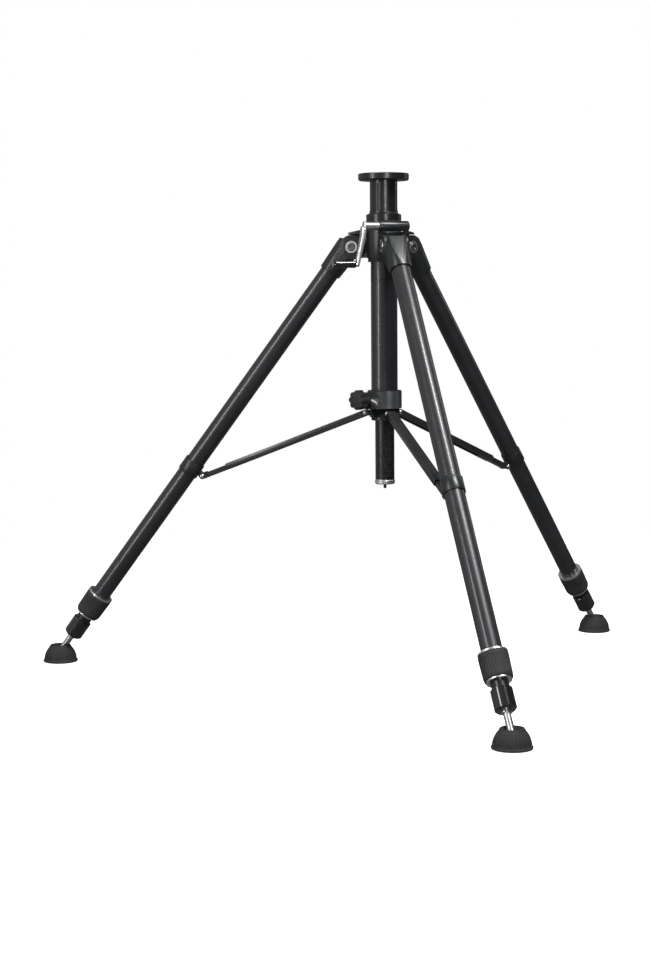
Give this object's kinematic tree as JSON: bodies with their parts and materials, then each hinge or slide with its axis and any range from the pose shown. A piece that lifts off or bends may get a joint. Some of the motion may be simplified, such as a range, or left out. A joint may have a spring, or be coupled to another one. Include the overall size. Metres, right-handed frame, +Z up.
{
  "type": "camera tripod",
  "caption": "Three-legged camera tripod with a crank-driven geared column, sliding mid-level brace, twist-lock legs and rubber feet on steel spikes.",
  "frame": {"origin": "on the floor under the column's axis, in the plane of the three feet", "axes": "+Z up the column; the front leg points along -Y; +X to the right seen from the front leg; the other legs at 30 and 150 degrees"},
  "size_m": [0.9774, 0.8537, 0.7593],
  "materials": {
    "tube_black": "hard satin black, glossier on the upper leg tubes",
    "cast_black": "fine-textured black paint over a casting",
    "machined_black": "black anodised turned metal",
    "tip_black": "gloss black",
    "rubber": "matt black rubber",
    "knob_black": "matt black moulding",
    "chrome": "satin chrome",
    "steel": "turned steel"
  },
  "bodies": {
    "frame": {"spider": "cast_black", "center_sleeve": "tube_black", "sleeve_bush": "machined_black", "wiper_ring": "machined_black", "shoulder_ring": "machined_black", "gear_housing": "cast_black", "front_pivot_bolt": "chrome", "right_pivot_bolt": "chrome", "left_pivot_bolt": "chrome"},
    "column": {"top_plate": "machined_black", "neck": "machined_black", "column_tube": "machined_black", "gear_rack": "machined_black", "end_cap": "chrome", "end_cap_screw": "machined_black"},
    "pinion": {"rack_pinion": "steel"},
    "idler": {"idler_gear": "steel"},
    "crank": {"crank_shaft": "steel", "crank_arm": "chrome"},
    "grip": {"crank_grip": "knob_black"},
    "collar": {"brace_collar": "cast_black", "collar_pins": "steel"},
    "knob": {"collar_knob": "knob_black", "knob_screw": "steel"},
    "front_leg": {"front_leg_head": "cast_black", "front_outer_tube": "tube_black", "front_cuff": "cast_black", "front_cuff_pin": "steel"},
    "front_twist": {"front_twist_grip": "rubber", "front_twist_rings": "chrome"},
    "front_lower": {"front_inner_tube": "machined_black", "front_tip_sleeve": "tip_black", "front_spike": "steel"},
    "front_shoe": {"front_foot": "rubber"},
    "front_rod": {"front_brace_rod": "tube_black"},
    "front_end": {"front_brace_end": "cast_black"},
    "right_leg": {"right_leg_head": "cast_black", "right_outer_tube": "tube_black", "right_cuff": "cast_black", "right_cuff_pin": "steel"},
    "right_twist": {"right_twist_grip": "rubber", "right_twist_rings": "chrome"},
    "right_lower": {"right_inner_tube": "machined_black", "right_tip_sleeve": "tip_black", "right_spike": "steel"},
    "right_shoe": {"right_foot": "rubber"},
    "right_rod": {"right_brace_rod": "tube_black"},
    "right_end": {"right_brace_end": "cast_black"},
    "left_leg": {"left_leg_head": "cast_black", "left_outer_tube": "tube_black", "left_cuff": "cast_black", "left_cuff_pin": "steel"},
    "left_twist": {"left_twist_grip": "rubber", "left_twist_rings": "chrome"},
    "left_lower": {"left_inner_tube": "machined_black", "left_tip_sleeve": "tip_black", "left_spike": "steel"},
    "left_shoe": {"left_foot": "rubber"},
    "left_rod": {"left_brace_rod": "tube_black"},
    "left_end": {"left_brace_end": "cast_black"}
  },
  "joints": [
    {"name": "column_lift", "type": "slide", "parent": "frame", "child": "column", "axis": [0, 0, 1], "range_m": [0, 0.28]},
    {"name": "pinion_spin", "type": "hinge", "parent": "frame", "child": "pinion", "pos_m": [0, -0.02, 0.6795], "axis": [1, 0, 0], "range_deg": [0, 2010]},
    {"name": "idler_spin", "type": "hinge", "parent": "frame", "child": "idler", "pos_m": [0, -0.0355, 0.6795], "axis": [1, 0, 0], "range_deg": [-2145, 0]},
    {"name": "crank_turn", "type": "hinge", "parent": "frame", "child": "crank", "pos_m": [0, -0.049, 0.6795], "axis": [1, 0, 0], "range_deg": [0, 2680]},
    {"name": "grip_spin", "type": "hinge", "parent": "crank", "child": "grip", "pos_m": [-0.0767, -0.049, 0.6235], "axis": [1, 0, 0], "continuous": true},
    {"name": "front_leg_fold", "type": "hinge", "parent": "frame", "child": "front_leg", "pos_m": [0, -0.046, 0.6505], "axis": [1, 0, 0], "range_deg": [0, 35]},
    {"name": "right_leg_fold", "type": "hinge", "parent": "frame", "child": "right_leg", "pos_m": [0.03984, 0.023, 0.6505], "axis": [-0.5, 0.866, 0], "range_deg": [0, 35]},
    {"name": "left_leg_fold", "type": "hinge", "parent": "frame", "child": "left_leg", "pos_m": [-0.03984, 0.023, 0.6505], "axis": [-0.5, -0.866, 0], "range_deg": [0, 35]},
    {"name": "collar_slide", "type": "slide", "parent": "frame", "child": "collar", "axis": [0, 0, 1], "range_m": [0, 0.103]},
    {"name": "knob_turn", "type": "hinge", "parent": "collar", "child": "knob", "pos_m": [-0.04936, -0.0285, 0.4224], "axis": [-0.866, -0.5, 0], "range_deg": [0, 720]},
    {"name": "front_rod_swing", "type": "hinge", "parent": "collar", "child": "front_rod", "pos_m": [0, -0.029, 0.4008], "axis": [1, 0, 0], "range_deg": [0, 66]},
    {"name": "front_end_swing", "type": "hinge", "parent": "front_leg", "child": "front_end", "pos_m": [0, -0.28943, 0.3008], "axis": [1, 0, 0], "range_deg": [0, 31]},
    {"name": "front_twist_lock", "type": "hinge", "parent": "front_leg", "child": "front_twist", "pos_m": [0, -0.47428, 0.09422], "axis": [0, -0.601, -0.7993], "range_deg": [0, 120]},
    {"name": "front_leg_extend", "type": "slide", "parent": "front_leg", "child": "front_lower", "axis": [0, -0.601, -0.7993], "range_m": [0, 0.45]},
    {"name": "front_foot_tilt", "type": "hinge", "parent": "front_lower", "child": "front_shoe", "pos_m": [0, -0.53282, 0.01638], "axis": [-1, 0, 0], "range_deg": [-3, 37]},
    {"name": "right_rod_swing", "type": "hinge", "parent": "collar", "child": "right_rod", "pos_m": [0.02511, 0.0145, 0.4008], "axis": [-0.5, 0.866, 0], "range_deg": [0, 66]},
    {"name": "right_end_swing", "type": "hinge", "parent": "right_leg", "child": "right_end", "pos_m": [0.25065, 0.14471, 0.3008], "axis": [-0.5, 0.866, 0], "range_deg": [0, 31]},
    {"name": "right_twist_lock", "type": "hinge", "parent": "right_leg", "child": "right_twist", "pos_m": [0.41074, 0.23714, 0.09422], "axis": [0.5205, 0.3005, -0.7993], "range_deg": [0, 120]},
    {"name": "right_leg_extend", "type": "slide", "parent": "right_leg", "child": "right_lower", "axis": [0.5205, 0.3005, -0.7993], "range_m": [0, 0.45]},
    {"name": "right_foot_tilt", "type": "hinge", "parent": "right_lower", "child": "right_shoe", "pos_m": [0.46143, 0.26641, 0.01638], "axis": [0.5, -0.866, 0], "range_deg": [-3, 37]},
    {"name": "left_rod_swing", "type": "hinge", "parent": "collar", "child": "left_rod", "pos_m": [-0.02511, 0.0145, 0.4008], "axis": [-0.5, -0.866, 0], "range_deg": [0, 66]},
    {"name": "left_end_swing", "type": "hinge", "parent": "left_leg", "child": "left_end", "pos_m": [-0.25065, 0.14471, 0.3008], "axis": [-0.5, -0.866, 0], "range_deg": [0, 31]},
    {"name": "left_twist_lock", "type": "hinge", "parent": "left_leg", "child": "left_twist", "pos_m": [-0.41074, 0.23714, 0.09422], "axis": [-0.5205, 0.3005, -0.7993], "range_deg": [0, 120]},
    {"name": "left_leg_extend", "type": "slide", "parent": "left_leg", "child": "left_lower", "axis": [-0.5205, 0.3005, -0.7993], "range_m": [0, 0.45]},
    {"name": "left_foot_tilt", "type": "hinge", "parent": "left_lower", "child": "left_shoe", "pos_m": [-0.46143, 0.26641, 0.01638], "axis": [0.5, 0.866, 0], "range_deg": [-3, 37]}
  ],
  "couplings": [
    {"joint": "pinion_spin", "follows": "column_lift", "rad_per_m": 125},
    {"joint": "idler_spin", "follows": "column_lift", "rad_per_m": -133.33},
    {"joint": "crank_turn", "follows": "column_lift", "rad_per_m": 166.67},
    {"joint": "right_leg_fold", "follows": "front_leg_fold", "ratio": 1},
    {"joint": "left_leg_fold", "follows": "front_leg_fold", "ratio": 1},
    {"joint": "collar_slide", "follows": "front_leg_fold", "m_per_rad": 0.1672},
    {"joint": "front_rod_swing", "follows": "front_leg_fold", "ratio": 1.8783},
    {"joint": "front_end_swing", "follows": "front_leg_fold", "ratio": 0.87834},
    {"joint": "right_rod_swing", "follows": "front_leg_fold", "ratio": 1.8783},
    {"joint": "right_end_swing", "follows": "front_leg_fold", "ratio": 0.87834},
    {"joint": "left_rod_swing", "follows": "front_leg_fold", "ratio": 1.8783},
    {"joint": "left_end_swing", "follows": "front_leg_fold", "ratio": 0.87834}
  ]
}
